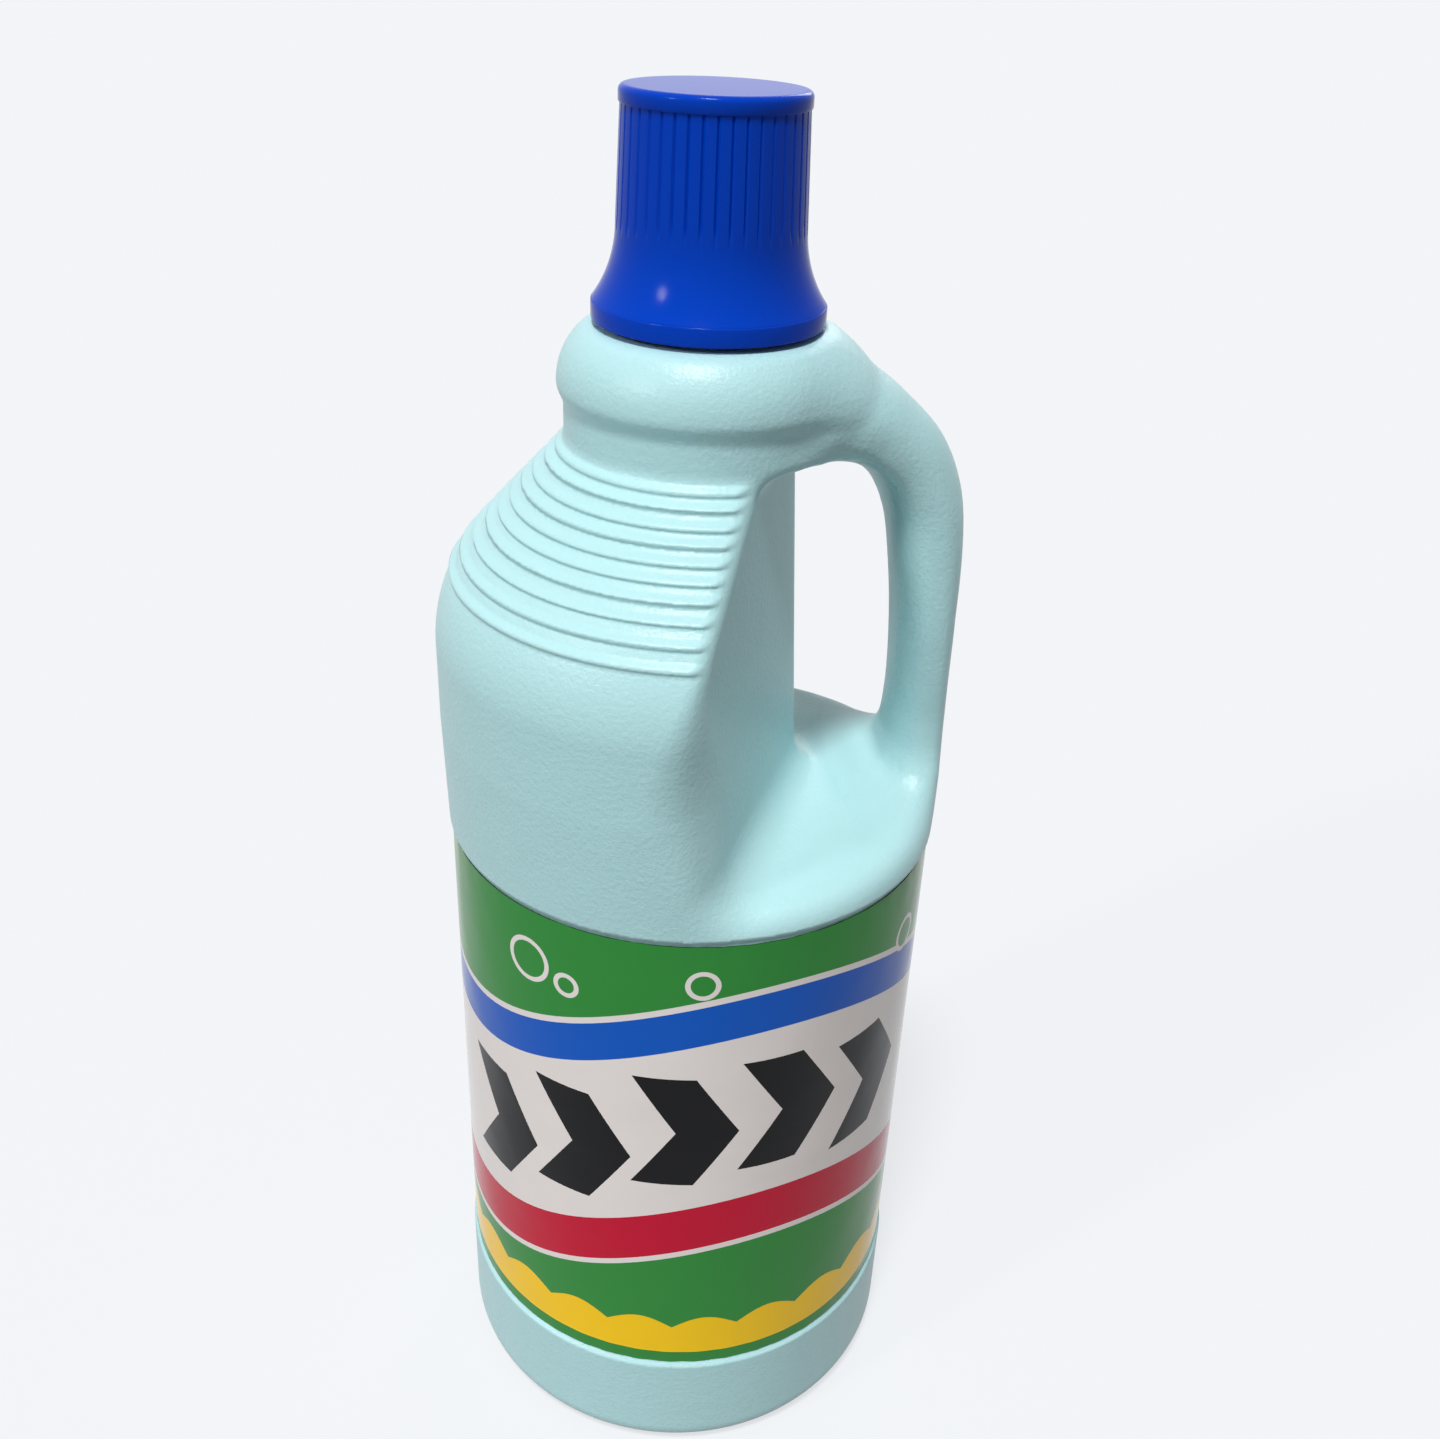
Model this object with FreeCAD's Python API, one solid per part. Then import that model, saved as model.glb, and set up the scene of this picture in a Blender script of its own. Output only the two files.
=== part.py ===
"""A large bleach bottle: blown body with a hollow grip, printed sleeve, pour spout, seal and measuring cap.

The bottle stands on its foot ring with the origin at the centre of the base. +Z is up and the grip
points to +X. The mould parts in the plane Y = 0, and both halves are mirror images.
"""
import FreeCAD
import Part

import math
import os

Vector = FreeCAD.Vector

# Blown body
body_r = 53.5              # plain bands below and above the sleeve
body_wall = 1.2
base_corner_r = 6.5
foot_inner_r = 38.0        # inside of the ring that the bottle stands on
push_up_r = 34.0
push_up_h = 3.0
bulge_r = 54.2             # widest ring, just under the shoulder
bulge_rise = 25.6          # from the sleeve's top to the widest ring
shoulder_rise = 16.5       # from there to where the shoulder starts to turn in
shoulder_arc_r = 31.7
shoulder_slope_deg = 41.6  # lean of the straight part of the shoulder, from the vertical
waist_r = 27.9             # narrow ring between the shoulder and the collar
waist_arc_r = 6.0
waist_h = 6.2
collar_r = 28.7
collar_arc_r = 13.5
collar_step_h = 1.6
collar_top_r = 20.5

# Ridges round the shoulder
ridge_count = 10
ridge_pitch = 3.68
ridge_half_w = 1.2
ridge_height = 0.7
ridge_sink = 0.4           # the ridge's foot reaches this far into the wall
ridge_start = -1.0         # distance of the first ridge down the straight part of the shoulder
ridge_end_gap = 1.6        # each ridge stops this far from the scooped faces

# Scoop behind the grip: two upright faces that meet in a blunt nose, over a level shelf
nose_x = 18.4
nose_r = 5.0
scoop_half_angle_deg = 65.5
scoop_reach = 72.0
shelf_rise = 8.4           # from the sleeve's top to the shelf
scoop_top_drop = 2.84      # from the waist's foot to the scoop's top
shelf_corner_r = 10.0
scoop_top_corner_r = 4.0
crease_r = 2.5             # rounding where the scoop leaves the bottle's side

# Hollow grip, as oval sections given by their outer point, inner point and half width. Each point is its
# distance in from the leg's outer line, and its height over the collar's foot (arm) or the shelf (leg).
# The sections of the leg stand out past the bottle's side, and are cut off flush with it.
grip_half_width = 11.6
grip_sides = 16            # flat sides round the grip
leg_overshoot = 1.0        # the leg's outer line lies this far outside the bulge
grip_arm = [
    ((51.2, 5.8), (47.2, -7.6), grip_half_width + 4.4),
    ((31.8, 8.4), (37.2, -8.8), grip_half_width + 4.8),
    ((23.7, 3.8), (30.7, -10.4), grip_half_width + 3.6),
    ((16.6, -1.0), (25.0, -12.4), grip_half_width + 1.8),
    ((8.0, -8.8), (20.4, -16.8), grip_half_width + 0.4),
    ((3.0, -19.2), (17.4, -23.2), grip_half_width),
]
grip_leg = [
    ((0.8, 53.2), (15.6, 52.2), grip_half_width),
    ((0.0, 39.2), (14.0, 39.2), grip_half_width),
    ((0.0, 25.2), (13.4, 25.2), grip_half_width + 0.4),
    ((-0.4, 14.2), (14.8, 14.2), grip_half_width + 3.6),
    ((-1.6, 5.2), (18.6, 5.6), grip_half_width + 10.0),
    ((-2.0, -5.8), (25.2, -5.8), grip_half_width + 16.0),
]

# Neck finish with its screw thread
neck_r = 13.4
neck_wall = 1.8
neck_h = 22.3              # from the collar's top to the rim
thread_lead = 4.23
thread_turns = 1.75
thread_depth = 1.2
thread_root_w = 2.0
thread_crest_w = 1.0
thread_sink = 0.3          # the thread's root reaches this far into the wall that carries it
thread_drop = 11.0         # start of the bottle's thread below the rim
thread_gap = 0.4           # crest of one thread to the wall of the other
thread_flank_gap = 0.3

# Printed film sleeve in its recess
sleeve_bottom_z = 29.7
sleeve_top_z = 152.4
sleeve_film = 0.2
sleeve_gap = 0.1
sleeve_end_gap = 0.4
recess_depth = 0.8
recess_slope_h = 1.0

# Pour spout pressed into the neck
spout_plug_h = 11.0
spout_wall = 1.2
spout_flange_h = 1.4
spout_flange_inset = 0.5
spout_tube_r = 6.0
spout_tube_rise = 7.6      # the tube stands this far over the spout's flange
spout_lip_tilt_deg = 14.0
spout_floor_drop = 8.0
drain_r = 1.5

# Seal ring between the spout and the cap
seal_h = 1.2
seal_inner_r = 9.0
seal_edge_gap = 0.4
seal_face_gap = 0.05

# Measuring cap
cap_head_room = 8.2        # from the spout's tube to the roof of the cap's cup
cap_top_wall = 1.8
cap_r = 17.5               # plain rim round the top
cap_top_edge_r = 1.1
cap_rim_h = 3.0
grip_top_r = 17.2
grip_foot_r = 17.9
cap_wall = 1.5
cap_cup_r = 12.9
skirt_gap = 2.0            # from the collar's top to the skirt's foot
skirt_band_h = 2.8
skirt_r = 22.2
flare_h = 16.1             # from the skirt's foot to the foot of the grooves
skirt_step = 0.2
grip_groove_count = 42
grip_groove_half_w = 0.45
grip_groove_depth = 0.4
thread_skirt_drop = 3.6    # from the thread's start to the foot of the skirt that carries it
thread_skirt_wall = 1.4
pocket_roof = 6.4          # the pocket round the threaded skirt stops this far under the flare's top

# Turned curves are drawn as short straight lines, each this many degrees of its arc
arc_step_deg = 20.0
cut_over = 1.0             # a cutting shape reaches this far past the face that it opens

label_r = body_r - recess_depth
bore_r = neck_r - neck_wall
cap_bore_r = neck_r + thread_depth + thread_gap
slope = math.radians(shoulder_slope_deg)


def rz(r, z):
    """A point of a profile that is turned about the bottle's axis."""
    return Vector(r, 0, z)


def line(a, b):
    return Part.LineSegment(a, b).toShape()


def on_arc(centre, radius, deg):
    """The point of an arc in the XZ plane at an angle above the +X direction."""
    turn = math.radians(deg)
    return centre + Vector(radius * math.cos(turn), 0, radius * math.sin(turn))


def true_arc(centre, radius, start_deg, end_deg):
    middle = on_arc(centre, radius, (start_deg + end_deg) / 2)
    return Part.Arc(on_arc(centre, radius, start_deg), middle, on_arc(centre, radius, end_deg)).toShape()


def stepped_arc(centre, radius, start_deg, end_deg):
    """The same arc as a few points, which chain() joins with straight lines."""
    steps = max(2, math.ceil(abs(end_deg - start_deg) / arc_step_deg))
    return [on_arc(centre, radius, start_deg + (end_deg - start_deg) * i / steps) for i in range(steps + 1)]


def chain(pieces):
    """Joins points and arcs, in order, into one closed wire."""
    edges = []
    last = None
    first = None
    for piece in pieces:
        is_point = isinstance(piece, Vector)
        begin = piece if is_point else piece.valueAt(piece.FirstParameter)
        end = piece if is_point else piece.valueAt(piece.LastParameter)
        if first is None:
            first = begin
        if last is not None and begin.distanceToPoint(last) > 1e-6:
            edges.append(line(last, begin))
        if not is_point:
            edges.append(piece)
        last = end
    if last.distanceToPoint(first) > 1e-6:
        edges.append(line(last, first))
    return Part.Wire(edges)


def turned(pieces):
    """A solid turned about the bottle's axis from a closed profile."""
    return Part.Face(chain(pieces)).revolve(Vector(0, 0, 0), Vector(0, 0, 1), 360)


shelf_z = sleeve_top_z + shelf_rise
bulge_z = sleeve_top_z + bulge_rise
shoulder_z = bulge_z + shoulder_rise


def shoulder_geometry():
    """Centres of the shoulder's two arcs; the straight part lies between them."""
    lower = rz(bulge_r - shoulder_arc_r, shoulder_z)
    fall = shoulder_arc_r + waist_arc_r
    across = lower.x + shoulder_arc_r * math.cos(slope) - (waist_r + waist_arc_r * (1 - math.cos(slope)))
    run = across / math.sin(slope)
    upper_z = lower.z + fall * math.sin(slope) + run * math.cos(slope)
    upper = rz(waist_r + waist_arc_r, upper_z)
    return lower, upper


lower_arc, upper_arc = shoulder_geometry()
scoop_top_z = upper_arc.z - scoop_top_drop
waist_top_z = upper_arc.z + waist_h
collar_z = waist_top_z + collar_step_h
collar_centre = rz(collar_r - collar_arc_r, collar_z)
collar_top_turn = math.degrees(math.acos((collar_top_r - collar_centre.x) / collar_arc_r))
collar_top_z = collar_z + collar_arc_r * math.sin(math.radians(collar_top_turn))

# Heights that follow from the sizes above, from the neck up to the cap's top
neck_top_z = collar_top_z + neck_h
thread_start_z = neck_top_z - thread_drop
flange_top_z = neck_top_z + spout_flange_h
spout_tube_top_z = flange_top_z + spout_tube_rise
seal_z = flange_top_z + seal_face_gap
cap_step_z = seal_z + seal_h + seal_face_gap
cap_roof_z = spout_tube_top_z + cap_head_room
cap_top_z = cap_roof_z + cap_top_wall
groove_top_z = cap_top_z - cap_rim_h
skirt_foot_z = collar_top_z + skirt_gap
flare_top_z = skirt_foot_z + flare_h
thread_skirt_foot_z = thread_start_z - thread_skirt_drop

leg_x = bulge_r + leg_overshoot


def grip_section(outer, inner, half_width, datum_z):
    """One section's outer and inner point in the frame, with its half width."""
    return (leg_x - outer[0], datum_z + outer[1]), (leg_x - inner[0], datum_z + inner[1]), half_width


grip_sections = [grip_section(*row, collar_z) for row in grip_arm] + [grip_section(*row, shelf_z) for row in grip_leg]


def upper_side_foot(inset):
    """Where the slightly flared side above the sleeve begins."""
    if inset == 0:
        return rz(body_r, sleeve_top_z + recess_slope_h)
    return rz(label_r - inset, sleeve_top_z)


def body_solid(inset):
    """The turned body without its grip; inset is 0 outside and the wall for the hollow."""
    side = [
        rz(0, push_up_h + inset),
        rz(push_up_r, push_up_h + inset),
        rz(foot_inner_r + inset / 2, inset),
    ]
    corner = base_corner_r - inset
    if inset == 0:
        side += stepped_arc(rz(body_r - corner, base_corner_r), corner, -90, 0)
        side += [
            rz(body_r, sleeve_bottom_z - recess_slope_h),
            rz(label_r, sleeve_bottom_z),
            rz(label_r, sleeve_top_z),
        ]
    else:
        side += stepped_arc(rz(label_r - inset - corner, base_corner_r), corner, -90, 0)
    side += [
        upper_side_foot(inset),
        rz(bulge_r - inset, bulge_z),
        true_arc(lower_arc, shoulder_arc_r - inset, 0, shoulder_slope_deg),
        true_arc(upper_arc, waist_arc_r + inset, 180 + shoulder_slope_deg, 180),
        rz(waist_r - inset, waist_top_z),
    ]
    side += stepped_arc(collar_centre, collar_arc_r - inset, 0, collar_top_turn)
    if inset == 0:
        side += [
            rz(neck_r, collar_top_z),
            rz(neck_r, neck_top_z),
            rz(0, neck_top_z),
        ]
    else:
        side += [
            rz(bore_r, collar_top_z - inset),
            rz(bore_r, neck_top_z + cut_over),
            rz(0, neck_top_z + cut_over),
        ]
    return turned(side)


def scoop_tool(inset):
    """The space that the scoop takes out of the body, grown by inset on the body's side."""
    half = math.radians(scoop_half_angle_deg)
    radius = nose_r - inset
    arc_x = nose_x - nose_r
    tangent = Vector(arc_x + radius * math.sin(half), radius * math.cos(half), 0)
    far = tangent + Vector(-math.cos(half), math.sin(half), 0) * scoop_reach
    low = shelf_z - inset
    def at(p, side):
        return Vector(p.x, side * p.y, low)
    nose = Part.Arc(at(tangent, -1), Vector(arc_x + radius, 0, low), at(tangent, 1)).toShape()
    outline = [
        line(at(far, -1), at(tangent, -1)),
        nose,
        line(at(tangent, 1), at(far, 1)),
        line(at(far, 1), Vector(scoop_reach, far.y, low)),
        line(Vector(scoop_reach, far.y, low), Vector(scoop_reach, -far.y, low)),
        line(Vector(scoop_reach, -far.y, low), at(far, -1)),
    ]
    height = scoop_top_z + inset - low
    return Part.Face(Part.Wire(outline)).extrude(Vector(0, 0, height))


def crease_edges(scooped, whole, scoop):
    """The sharp edges where the scoop leaves the bottle's side, up to the waist."""
    found = []
    for edge in scooped.Edges:
        middle = edge.valueAt((edge.FirstParameter + edge.LastParameter) / 2)
        point = Part.Vertex(middle)
        gaps = [point.distToShape(solid.Shells[0])[0] for solid in (whole, scoop)]
        if max(gaps) < 1e-3 and middle.z < scoop_top_z - 1e-3:
            found.append(edge)
    return found


def wall_edges(block, z):
    """Edges of the scoop's faces at one height, apart from the block's outer sides."""
    found = []
    for edge in block.Edges:
        box = edge.BoundBox
        level = abs(box.ZMin - z) < 1e-4 and abs(box.ZMax - z) < 1e-4
        inner = box.XMax < scoop_reach - cut_over and box.YMax - box.YMin > cut_over
        if level and inner:
            found.append(edge)
    return found


def rounded_scoop(inset):
    """The scoop with the corners that the blown wall has at its shelf and its top."""
    block = scoop_tool(inset)
    block = block.makeFillet(shelf_corner_r + inset, wall_edges(block, shelf_z - inset))
    return block.makeFillet(scoop_top_corner_r + inset, wall_edges(block, scoop_top_z + inset))


def oval(outer, inner, half_width, inset):
    """One oval section of the grip, as a many-sided outline upright to the line from its inner to its outer point."""
    a = Vector(inner[0], 0, inner[1])
    b = Vector(outer[0], 0, outer[1])
    half = (b - a) * 0.5 - (b - a).normalize() * inset
    centre = (Vector(outer[0], 0, outer[1]) + Vector(inner[0], 0, inner[1])) * 0.5
    wide = Vector(0, half_width - inset, 0)
    corners = []
    for i in range(grip_sides):
        turn = 2 * math.pi * (i + 0.5) / grip_sides
        corners.append(centre + half * math.cos(turn) + wide * math.sin(turn))
    return Part.makePolygon(corners + corners[:1])


def grip_solid(inset):
    """The loop of the grip, lofted through its ovals and cut off flush with the bottle's side."""
    loop = Part.makeLoft([oval(o, i, w, inset) for o, i, w in grip_sections], True, True)
    side_foot = upper_side_foot(inset)
    keep = turned([
        rz(0, side_foot.z),
        side_foot,
        rz(bulge_r - inset, bulge_z),
        rz(bulge_r - inset, neck_top_z),
        rz(0, neck_top_z),
    ])
    return loop.common(keep)


def ridge(index):
    """One raised ring on the shoulder, with two sloping faces and its foot sunk in the wall."""
    run_top = on_arc(upper_arc, waist_arc_r, 180 + shoulder_slope_deg)
    run_bottom = on_arc(lower_arc, shoulder_arc_r, shoulder_slope_deg)
    run = (run_bottom - run_top).Length
    down = (run_bottom - run_top).normalize()
    place = ridge_start + index * ridge_pitch
    if place <= run:
        turn = slope
        centre = run_top + down * place
    else:
        turn = slope - (place - run) / shoulder_arc_r
        centre = on_arc(lower_arc, shoulder_arc_r, math.degrees(turn))
    out = Vector(math.cos(turn), 0, math.sin(turn))
    along = Vector(math.sin(turn), 0, -math.cos(turn))
    half = ridge_half_w * (1 + ridge_sink / ridge_height)
    foot = centre - out * ridge_sink
    return turned([foot - along * half, foot + along * half, centre + out * ridge_height])


def thread(wall_r, outward, start_z, turns):
    """A screw thread with slanted flanks; outward is 1 on the neck and -1 in the cap."""
    root = wall_r - outward * thread_sink
    crest = wall_r + outward * thread_depth
    half_root = (thread_root_w / 2) * (1 + thread_sink / thread_depth)
    half_crest = thread_crest_w / 2
    corners = [
        Vector(root, 0, start_z - half_root),
        Vector(crest, 0, start_z - half_crest),
        Vector(crest, 0, start_z + half_crest),
        Vector(root, 0, start_z + half_root),
    ]
    section = Part.makePolygon(corners + corners[:1])
    spine = Part.makeHelix(thread_lead, thread_lead * turns, wall_r)
    spine.translate(Vector(0, 0, start_z))
    return Part.Wire(spine.Edges).makePipeShell([section], True, True)


def bottle():
    scoop = rounded_scoop(0)
    whole = body_solid(0)
    outside = whole.cut(scoop)
    outside = outside.makeFillet(crease_r, crease_edges(outside, whole, scoop))
    ridge_limit = scoop_tool(ridge_end_gap)
    rings = [ridge(i).cut(ridge_limit) for i in range(ridge_count)]
    outside = outside.fuse([grip_solid(0)] + rings)
    hollow = body_solid(body_wall).cut(rounded_scoop(body_wall)).fuse(grip_solid(body_wall))
    blown = outside.cut(hollow)
    return blown.fuse(thread(neck_r, 1, thread_start_z, thread_turns))


def label():
    inner = label_r + sleeve_gap
    low = sleeve_bottom_z + sleeve_end_gap
    high = sleeve_top_z - sleeve_end_gap
    tube = Part.makeCylinder(inner + sleeve_film, high - low, Vector(0, 0, low))
    return tube.cut(Part.makeCylinder(inner, high - low, Vector(0, 0, low)))


def pour_spout():
    plug_foot = neck_top_z - spout_plug_h
    floor_z = neck_top_z - spout_floor_drop
    inner_r = bore_r - spout_wall
    tube_in = spout_tube_r - spout_wall
    body = turned([
        rz(bore_r, plug_foot),
        rz(bore_r, neck_top_z),
        rz(neck_r - spout_flange_inset, neck_top_z),
        rz(neck_r - spout_flange_inset, flange_top_z),
        rz(inner_r, flange_top_z),
        rz(inner_r, floor_z + spout_wall),
        rz(spout_tube_r, floor_z + spout_wall),
        rz(spout_tube_r, spout_tube_top_z),
        rz(tube_in, spout_tube_top_z),
        rz(tube_in, floor_z),
        rz(inner_r, floor_z),
        rz(inner_r, plug_foot),
    ])
    lip_w = 4 * spout_tube_r
    lip = Part.makeBox(2 * lip_w, 2 * lip_w, lip_w, Vector(-lip_w, -lip_w, 0))
    lip.rotate(Vector(0, 0, 0), Vector(0, 1, 0), -spout_lip_tilt_deg)
    lip.translate(Vector(-spout_tube_r, 0, spout_tube_top_z))
    drain_x = (inner_r + spout_tube_r) / 2
    drain = Part.makeCylinder(drain_r, spout_wall * 3, Vector(drain_x, 0, floor_z - spout_wall))
    return body.cut([lip, drain])


def cap_seal():
    outer = cap_bore_r - seal_edge_gap
    ring = Part.makeCylinder(outer, seal_h, Vector(0, 0, seal_z))
    return ring.cut(Part.makeCylinder(seal_inner_r, seal_h, Vector(0, 0, seal_z)))


def flare(top_r, foot_r, foot_z):
    """The hollow curve from the grooved part out to the skirt, upright at its top."""
    out = foot_r - top_r
    drop = flare_top_z - foot_z
    radius = (out * out + drop * drop) / (2 * out)
    turn = math.degrees(math.asin(drop / radius))
    return stepped_arc(rz(top_r + radius, flare_top_z), radius, 180 + turn, 180)


def groove(turn):
    """A V-shaped groove in the cap's grip, at one angle round the cap."""
    rise = groove_top_z - flare_top_z
    def section(land_r, z):
        outside = land_r + cut_over
        half = grip_groove_half_w * (1 + cut_over / grip_groove_depth)
        corners = [Vector(land_r - grip_groove_depth, 0, z), Vector(outside, half, z), Vector(outside, -half, z)]
        return Part.makePolygon(corners + corners[:1])
    cutter = Part.makeLoft([section(grip_foot_r, flare_top_z), section(grip_top_r, flare_top_z + rise)], True, True)
    cutter.rotate(Vector(0, 0, 0), Vector(0, 0, 1), math.degrees(turn))
    return cutter


def cap():
    band_top = skirt_foot_z + skirt_band_h
    top_edge = rz(cap_r - cap_top_edge_r, cap_top_z - cap_top_edge_r)
    tube_r = cap_bore_r + thread_skirt_wall
    outside = [
        rz(skirt_r - cap_wall, skirt_foot_z),
        rz(skirt_r, skirt_foot_z),
        rz(skirt_r, band_top),
    ]
    outside += flare(grip_foot_r, skirt_r - skirt_step, band_top)
    outside += [
        rz(grip_top_r, groove_top_z),
        rz(cap_r, groove_top_z),
    ]
    outside += stepped_arc(top_edge, cap_top_edge_r, 0, 90)
    shell = turned(outside + [
        rz(0, cap_top_z),
        rz(0, cap_roof_z),
        rz(cap_cup_r, cap_roof_z),
        rz(cap_cup_r, cap_step_z),
        rz(cap_bore_r, cap_step_z),
        rz(cap_bore_r, thread_skirt_foot_z),
        rz(tube_r, thread_skirt_foot_z),
        rz(tube_r, flare_top_z - pocket_roof),
        rz(skirt_r - cap_wall, band_top),
    ])
    grooves = [groove(2 * math.pi * (i + 0.5) / grip_groove_count) for i in range(grip_groove_count)]
    shell = shell.cut(grooves)
    tooth = (thread_root_w + thread_crest_w) / 2
    start = thread_start_z - tooth - thread_flank_gap
    return shell.fuse(thread(cap_bore_r, -1, start, thread_turns))


os.makedirs("parts", exist_ok=True)
for make in (bottle, label, pour_spout, cap_seal, cap):
    shape = make()
    shape.exportStep("parts/" + make.__name__ + ".step")
    print(make.__name__, "valid" if shape.isValid() else "broken", round(shape.Volume / 1000, 2), "cm3")
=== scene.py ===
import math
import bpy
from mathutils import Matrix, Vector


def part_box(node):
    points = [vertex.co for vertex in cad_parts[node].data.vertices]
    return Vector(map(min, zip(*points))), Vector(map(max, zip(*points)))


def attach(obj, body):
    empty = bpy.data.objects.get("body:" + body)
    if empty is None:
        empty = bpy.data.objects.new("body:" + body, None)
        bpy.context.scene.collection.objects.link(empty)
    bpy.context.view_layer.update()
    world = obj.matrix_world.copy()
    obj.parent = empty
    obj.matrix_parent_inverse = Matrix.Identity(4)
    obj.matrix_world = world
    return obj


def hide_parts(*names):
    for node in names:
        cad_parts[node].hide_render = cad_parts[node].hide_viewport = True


bl_info = {
    "name": "Bleach bottle",
    "version": (1, 0, 0),
    "blender": (4, 5, 0),
    "location": "3D View > Sidebar > Bottle",
    "description": "Dresses the packed bleach bottle: blown skin, printed sleeve, grooved cap, studio",
    "category": "Object",
}

import bpy
import numpy as np
from bpy.props import FloatProperty, FloatVectorProperty, IntProperty, PointerProperty
from mathutils import Matrix, Vector, geometry

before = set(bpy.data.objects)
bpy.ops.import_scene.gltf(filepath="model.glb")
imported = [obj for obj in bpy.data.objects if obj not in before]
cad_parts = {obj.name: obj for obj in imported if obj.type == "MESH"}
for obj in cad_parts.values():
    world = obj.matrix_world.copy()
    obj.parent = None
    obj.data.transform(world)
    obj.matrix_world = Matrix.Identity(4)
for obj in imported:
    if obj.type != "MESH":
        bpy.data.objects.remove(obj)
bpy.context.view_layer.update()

MM = 0.001


def linear_colour(hex_code):
    """An sRGB hex colour as the linear RGBA that the shaders take."""
    channels = [int(hex_code[i:i + 2], 16) / 255 for i in (1, 3, 5)]
    return tuple(c / 12.92 if c <= 0.04045 else ((c + 0.055) / 1.055) ** 2.4 for c in channels) + (1.0,)


def node_radius(node):
    """Half the width of a CAD node along Y, in metres."""
    low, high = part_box(node)
    return (high.y - low.y) / 2


def length(name, description, default):
    """A size that a user can change, in metres."""
    return FloatProperty(name=name, description=description, default=default, min=0.0, unit="LENGTH")


def colour(name, description, hex_code):
    """A colour that a user can change, given as an sRGB hex code."""
    return FloatVectorProperty(
        name=name, description=description, default=linear_colour(hex_code),
        size=4, min=0.0, max=1.0, subtype="COLOR",
    )


def strength(name, description, default):
    """A lamp's or the world's strength that a user can change."""
    return FloatProperty(name=name, description=description, default=default, min=0.0)


class BlownBodySettings(bpy.types.PropertyGroup):
    grid: length("Mesh spacing", "Distance between the points of the skin's mesh", 1.1 * MM)
    ridge_height: length("Ridge height", "How far the shoulder's ridges stand out", 0.75 * MM)
    ridge_half_width: length("Ridge half width", "Half the width of one ridge along the shoulder", 1.5 * MM)
    crease_round: length("Crease rounding", "Blend width where the scoop's top leaves the shoulder", 2.6 * MM)
    grip_blend: length("Grip blend", "Blend width where the grip grows out of the body", 5.0 * MM)
    plastic: colour("Plastic", "Light turquoise polyethylene", "#B0D9DC")


class SleeveSettings(bpy.types.PropertyGroup):
    film: length("Film thickness", "Thickness of the printed film", 0.2 * MM)
    grid: length("Mesh spacing", "Distance between the points of the film's mesh", 2.6 * MM)
    pucker: length("Pucker depth", "How far the film's edge puckers in", 0.16 * MM)
    green: colour("Green ink", "Ground of the print", "#2F8C39")
    crimson: colour("Crimson ink", "Lower border of the wave", "#C60030")
    white: colour("White ink", "Ground and thin edges of the wave, and rings of the bubbles", "#E9E2DF")
    blue: colour("Blue ink", "Upper border of the wave", "#0058C2")
    yellow: colour("Yellow ink", "Scalloped strip along the foot", "#FFCE00")
    black: colour("Black ink", "Chevrons", "#121214")


class CapSettings(bpy.types.PropertyGroup):
    groove_count: IntProperty(
        name="Grooves", description="Number of grooves round the grip", default=42, min=12,
    )
    groove_depth: length("Groove depth", "Depth of each groove", 0.34 * MM)
    groove_half_width: length("Groove half width", "Half the width of each groove", 0.34 * MM)
    plastic: colour("Plastic", "Deep blue polypropylene", "#003CB6")


class StudioSettings(bpy.types.PropertyGroup):
    floor_colour: colour("Floor", "Pale paper floor", "#F2F4F7")
    world_strength: strength("Ambient", "Strength of the even light all round", 0.19)
    key_strength: strength("Top light", "Strength of the lamp above the front", 3.0)
    side_strength: strength("Side light", "Strength of the lamp on the left", 0.8)
    back_strength: strength("Back light", "Strength of the faint lamp behind", 0.35)


# The turned side of the blown body, its base and its scoop, in millimetres
BODY_R = 53.5
LABEL_R = 52.7
BULGE_R = 54.2
BASE_CORNER = 6.5
SLEEVE_FOOT, SLEEVE_TOP = 29.7, 152.4
BULGE_Z, SHOULDER_Z = 178.0, 194.5
SHOULDER_ARC, SLOPE = 31.7, math.radians(41.6)
WAIST_R, WAIST_ARC, WAIST_Z, WAIST_TOP = 27.5, 6.0, 238.4, 243.2
COLLAR_R, COLLAR_ARC, COLLAR_Z, COLLAR_TOP = 28.8, 13.5, 247.6, 258.66

# The collar's arc is cut off at this share of its radius
COLLAR_ARC_END = 0.96

# The raised middle of the base, the foot ring round it, and two roundings
PUSH_UP_EDGE_R, FOOT_R, PUSH_UP = 31.0, 38.0, 3.0
FOOT_ROUND, COLLAR_ROUND = 1.2, 1.5

# The shelf falls away to its sides. The nose is the blunt edge where the scoop's two faces meet
SHELF_Z, SHELF_FALL, SHELF_HALF_WIDTH = 160.8, 2.4, 47.0
SCOOP_HALF_ANGLE = math.radians(65.5)
NOSE_X, NOSE_BLUNT = 18.9, 3.0

# The scoop's faces lean back below the first height, and flare at their outer edges below the second
SCOOP_LEAN, SCOOP_LEAN_TOP = 0.06, 235.0
SCOOP_FLARE, SCOOP_FLARE_TOP, SCOOP_FLARE_START = 0.1, 205.0, 6.0

# The scoop's ceiling rises from CEILING_X on, over CEILING_LENGTH
CEILING_Z, CEILING_SLOPE, CEILING_X, CEILING_LENGTH = 236.1, 0.12, 8.0, 10.0
SHELF_ROUND, CEILING_ROUND = 9.0, 4.0

# The crease is wider on the lower part of the scoop, and tighter again down at the shelf
CREASE_LOW, CREASE_LOW_Z = 9.5, (180.0, 212.0)
CREASE_SHELF, CREASE_SHELF_Z = 5.0, (156.0, 182.0)

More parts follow.
